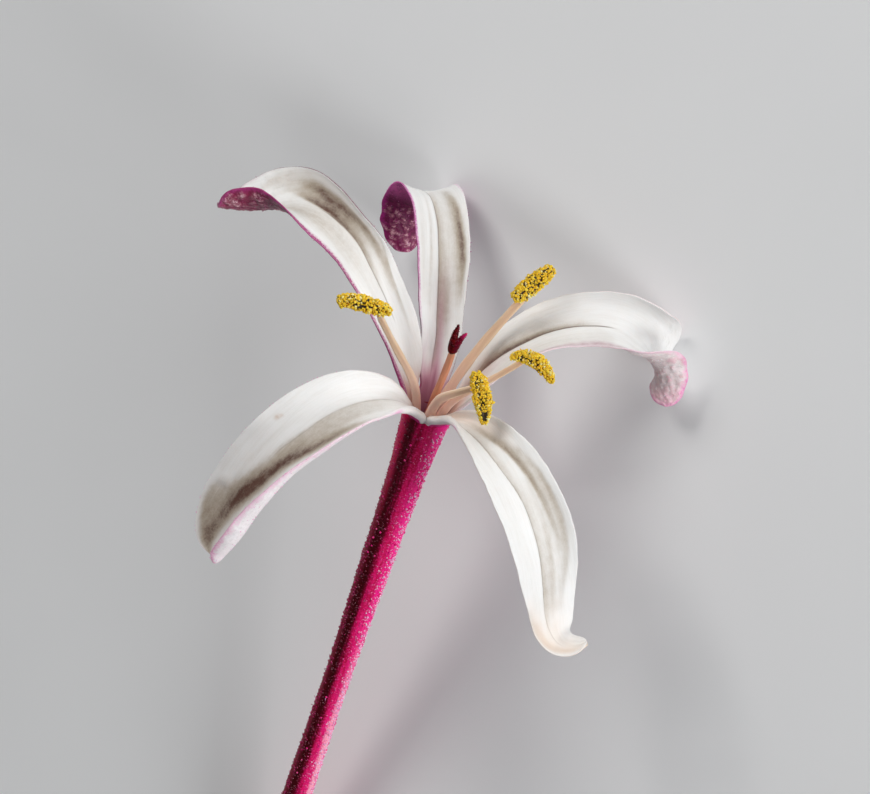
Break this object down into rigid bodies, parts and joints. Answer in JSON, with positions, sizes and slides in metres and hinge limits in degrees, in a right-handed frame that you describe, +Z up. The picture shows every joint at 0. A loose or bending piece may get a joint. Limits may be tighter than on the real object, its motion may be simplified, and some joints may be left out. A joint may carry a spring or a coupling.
{
  "type": "lily-like tubular flower",
  "caption": "Single cut bloom lying on its side: a slender tube opening into recurved strap petals, with long stamens and a forked style.",
  "frame": {"origin": "on the surface that the bloom lies on, under the middle of its box", "axes": "+Z up from that surface, +Y from the cut end of the tube towards the petals, +X to the right of that"},
  "size_m": [0.0396, 0.0548, 0.0229],
  "materials": {
    "tube": "satin",
    "petal": "matte",
    "filament": "satin",
    "anther": "matte",
    "style": "satin",
    "stigma": "satin"
  },
  "bodies": {
    "root": {"flower_tube": "tube", "petal_upper_left": "petal", "petal_top": "petal", "petal_right": "petal", "petal_lower_right": "petal", "petal_lower_left": "petal", "filament_left": "filament", "filament_upper_right": "filament", "filament_right": "filament", "filament_front": "filament", "style": "style", "stigma": "stigma", "anther_left": "anther", "anther_upper_right": "anther", "anther_right": "anther", "anther_front": "anther"}
  },
  "joints": []
}
